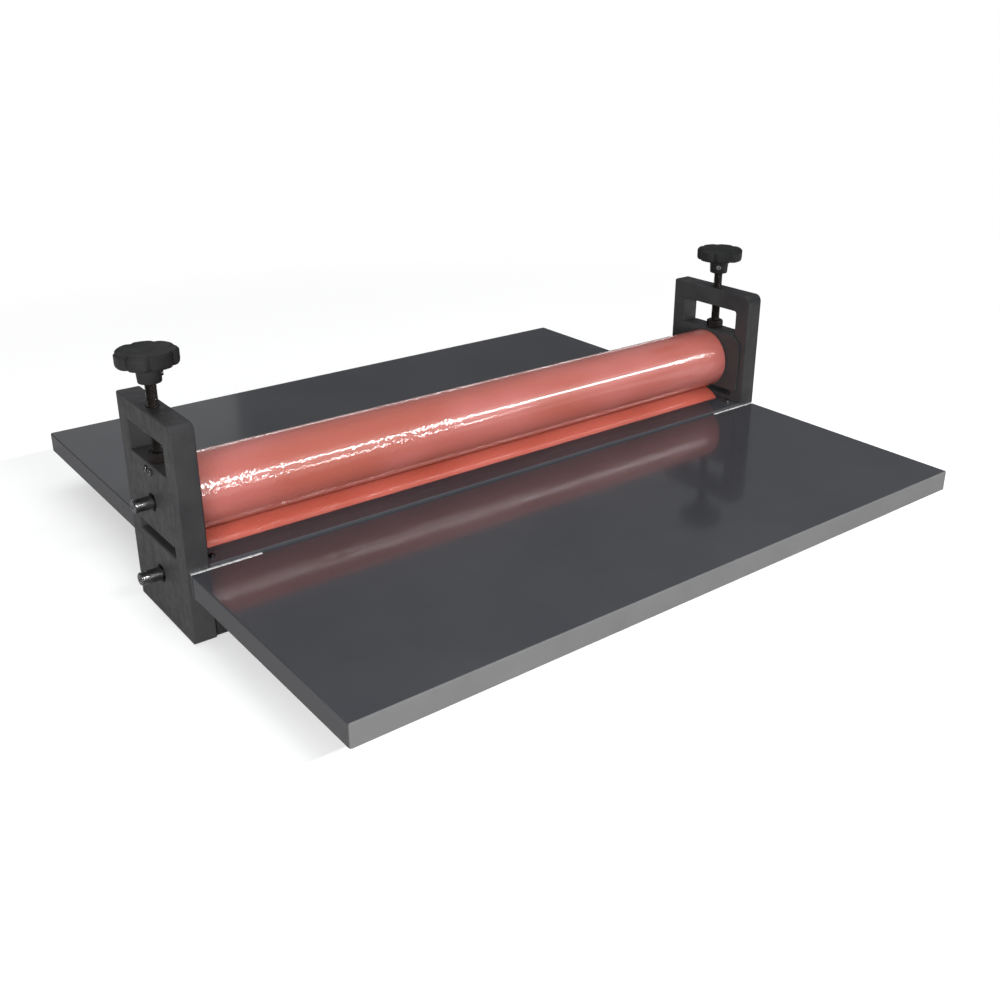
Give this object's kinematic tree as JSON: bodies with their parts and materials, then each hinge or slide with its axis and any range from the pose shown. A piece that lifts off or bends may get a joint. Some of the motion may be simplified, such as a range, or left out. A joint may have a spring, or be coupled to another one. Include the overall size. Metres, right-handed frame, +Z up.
{
  "type": "cold roll laminator",
  "caption": "Hand-cranked bench laminator: rubber rollers between cast side frames, knobs that set the nip pressure, and feed and outfeed tables.",
  "frame": {"origin": "on the bench plane, on the underside of the base channel, under the nip and midway between the side frames", "axes": "+X along the rollers towards the cranked end, +Y from the feed table to the outfeed table, +Z up"},
  "size_m": [0.8506, 0.6676, 0.2495],
  "materials": {
    "frame_casting": "black paint over cast iron, slightly rough",
    "table_paint": "dark blue-grey satin paint with a soft reflection",
    "roller_rubber": "ground red-orange silicone rubber, glossy",
    "bright_steel": "turned steel",
    "zinc_plate": "bright zinc plate",
    "black_steel": "blackened steel, lightly oiled",
    "knob_plastic": "black moulded phenolic, fine matte"
  },
  "bodies": {
    "frame": {"base_channel": "frame_casting", "front_feed_plate": "table_paint", "front_left_base_bolt": "zinc_plate", "front_left_bracket_bolt": "zinc_plate", "front_left_feed_screw": "bright_steel", "front_left_table_bracket": "zinc_plate", "front_left_table_nut": "zinc_plate", "front_right_base_bolt": "zinc_plate", "front_right_bracket_bolt": "zinc_plate", "front_right_feed_screw": "bright_steel", "front_right_table_bracket": "zinc_plate", "front_right_table_nut": "zinc_plate", "front_table": "table_paint", "left_lower_bearing_outer": "bright_steel", "left_side_frame": "frame_casting", "rear_feed_plate": "table_paint", "rear_left_base_bolt": "zinc_plate", "rear_left_bracket_bolt": "zinc_plate", "rear_left_feed_screw": "bright_steel", "rear_left_table_bracket": "zinc_plate", "rear_left_table_nut": "zinc_plate", "rear_right_base_bolt": "zinc_plate", "rear_right_bracket_bolt": "zinc_plate", "rear_right_feed_screw": "bright_steel", "rear_right_table_bracket": "zinc_plate", "rear_right_table_nut": "zinc_plate", "rear_table": "table_paint", "right_lower_bearing_outer": "bright_steel", "right_side_frame": "frame_casting"},
    "upper_carriage": {"left_bearing_block": "frame_casting", "left_front_retaining_screw": "bright_steel", "left_rear_retaining_screw": "bright_steel", "left_upper_bearing_outer": "bright_steel", "right_bearing_block": "frame_casting", "right_front_retaining_screw": "bright_steel", "right_rear_retaining_screw": "bright_steel", "right_upper_bearing_outer": "bright_steel"},
    "upper_roller": {"crank_arm": "black_steel", "crank_grip_bolt": "bright_steel", "crank_set_screw": "bright_steel", "left_upper_bearing_inner": "bright_steel", "right_upper_bearing_inner": "bright_steel", "upper_roller_core": "bright_steel", "upper_roller_rubber": "roller_rubber"},
    "lower_roller": {"left_lower_bearing_inner": "bright_steel", "lower_roller_core": "bright_steel", "lower_roller_rubber": "roller_rubber", "right_lower_bearing_inner": "bright_steel"},
    "left_screw": {"left_knob": "knob_plastic", "left_knob_set_screw": "bright_steel", "left_pressure_screw": "black_steel", "left_thrust_nut": "black_steel"},
    "right_screw": {"right_knob": "knob_plastic", "right_knob_set_screw": "bright_steel", "right_pressure_screw": "black_steel", "right_thrust_nut": "black_steel"},
    "crank_grip": {"crank_grip": "knob_plastic"}
  },
  "joints": [
    {"name": "upper_carriage_lift", "type": "slide", "parent": "frame", "child": "upper_carriage", "axis": [0, 0, 1], "range_m": [0, 0.012]},
    {"name": "left_screw_turn", "type": "hinge", "parent": "upper_carriage", "child": "left_screw", "pos_m": [-0.34575, 0, 0.2], "axis": [0, 0, 1], "range_deg": [0, 2880]},
    {"name": "right_screw_turn", "type": "hinge", "parent": "upper_carriage", "child": "right_screw", "pos_m": [0.34575, 0, 0.2], "axis": [0, 0, 1], "range_deg": [0, 2880]},
    {"name": "upper_roller_spin", "type": "hinge", "parent": "upper_carriage", "child": "upper_roller", "pos_m": [0, 0, 0.1144], "axis": [1, 0, 0], "continuous": true},
    {"name": "lower_roller_spin", "type": "hinge", "parent": "frame", "child": "lower_roller", "pos_m": [0, 0, 0.0452], "axis": [1, 0, 0], "continuous": true},
    {"name": "crank_grip_spin", "type": "hinge", "parent": "upper_roller", "child": "crank_grip", "pos_m": [0.42, 0.06717, 0.04723], "axis": [1, 0, 0], "continuous": true}
  ],
  "couplings": [
    {"joint": "left_screw_turn", "follows": "upper_carriage_lift", "rad_per_m": 4188.8},
    {"joint": "right_screw_turn", "follows": "upper_carriage_lift", "rad_per_m": 4188.8},
    {"joint": "lower_roller_spin", "follows": "upper_roller_spin", "ratio": -1}
  ]
}
